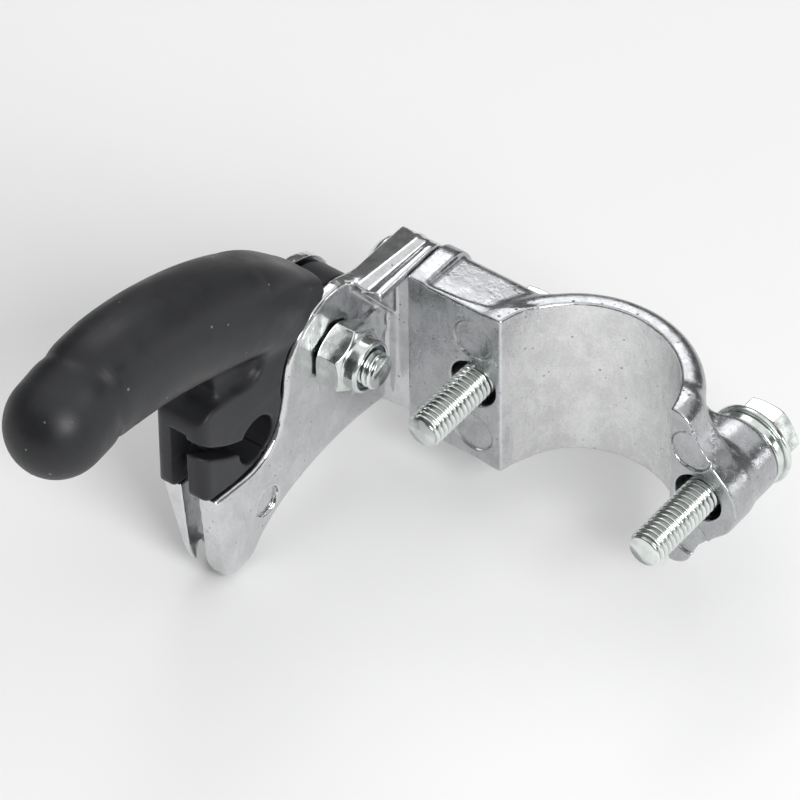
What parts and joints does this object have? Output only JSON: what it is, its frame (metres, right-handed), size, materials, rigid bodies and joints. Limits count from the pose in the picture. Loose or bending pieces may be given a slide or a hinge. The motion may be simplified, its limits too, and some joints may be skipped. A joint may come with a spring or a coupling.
{
  "type": "tube-mounted hand lever clamp",
  "caption": "Half-round tube saddle with clamp bolts, a forked perch screwed to its end, and a moulded hand lever that pivots in the fork and pulls a Bowden cable.",
  "frame": {"origin": "on the split plane, midway between the two clamp bolts, at half the saddle's height", "axes": "+Z along the clamped tube's axis, -Y out of the split plane towards the missing clamp half, +X along the line of the bolts away from the lever"},
  "size_m": [0.0821, 0.0981, 0.0681],
  "materials": {
    "saddle_alloy": "as-cast and tumbled, satin",
    "perch_alloy": "die-cast and polished",
    "black_plastic": "satin moulded black",
    "zinc_steel": "bright zinc plated",
    "plain_steel": "turned",
    "nylon": "moulded"
  },
  "bodies": {
    "frame": {"saddle_casting": "saddle_alloy", "perch_casting": "perch_alloy", "pivot_bolt": "zinc_steel", "pivot_bush": "plain_steel", "lock_nut": "zinc_steel", "lock_nut_insert": "nylon", "perch_screw_upper": "zinc_steel", "perch_screw_lower": "zinc_steel", "perch_washer_upper": "zinc_steel", "perch_washer_lower": "zinc_steel"},
    "lever": {"lever_moulding": "black_plastic"},
    "left_washer": {"clamp_washer_left": "zinc_steel"},
    "left_bolt": {"clamp_bolt_left": "zinc_steel"},
    "right_washer": {"clamp_washer_right": "zinc_steel"},
    "right_bolt": {"clamp_bolt_right": "zinc_steel"}
  },
  "joints": [
    {"name": "lever_pivot", "type": "hinge", "parent": "frame", "child": "lever", "pos_m": [-0.0443, -0.0115, 0.0064], "axis": [-1, 0, 0], "range_deg": [0, 28]},
    {"name": "left_bolt_draw", "type": "slide", "parent": "frame", "child": "left_washer", "axis": [0, 1, 0], "range_m": [0, 0.012]},
    {"name": "left_bolt_turn", "type": "hinge", "parent": "left_washer", "child": "left_bolt", "pos_m": [-0.021, 0, 0], "axis": [0, 1, 0], "continuous": true},
    {"name": "right_bolt_draw", "type": "slide", "parent": "frame", "child": "right_washer", "axis": [0, 1, 0], "range_m": [0, 0.012]},
    {"name": "right_bolt_turn", "type": "hinge", "parent": "right_washer", "child": "right_bolt", "pos_m": [0.021, 0, 0], "axis": [0, 1, 0], "continuous": true}
  ]
}
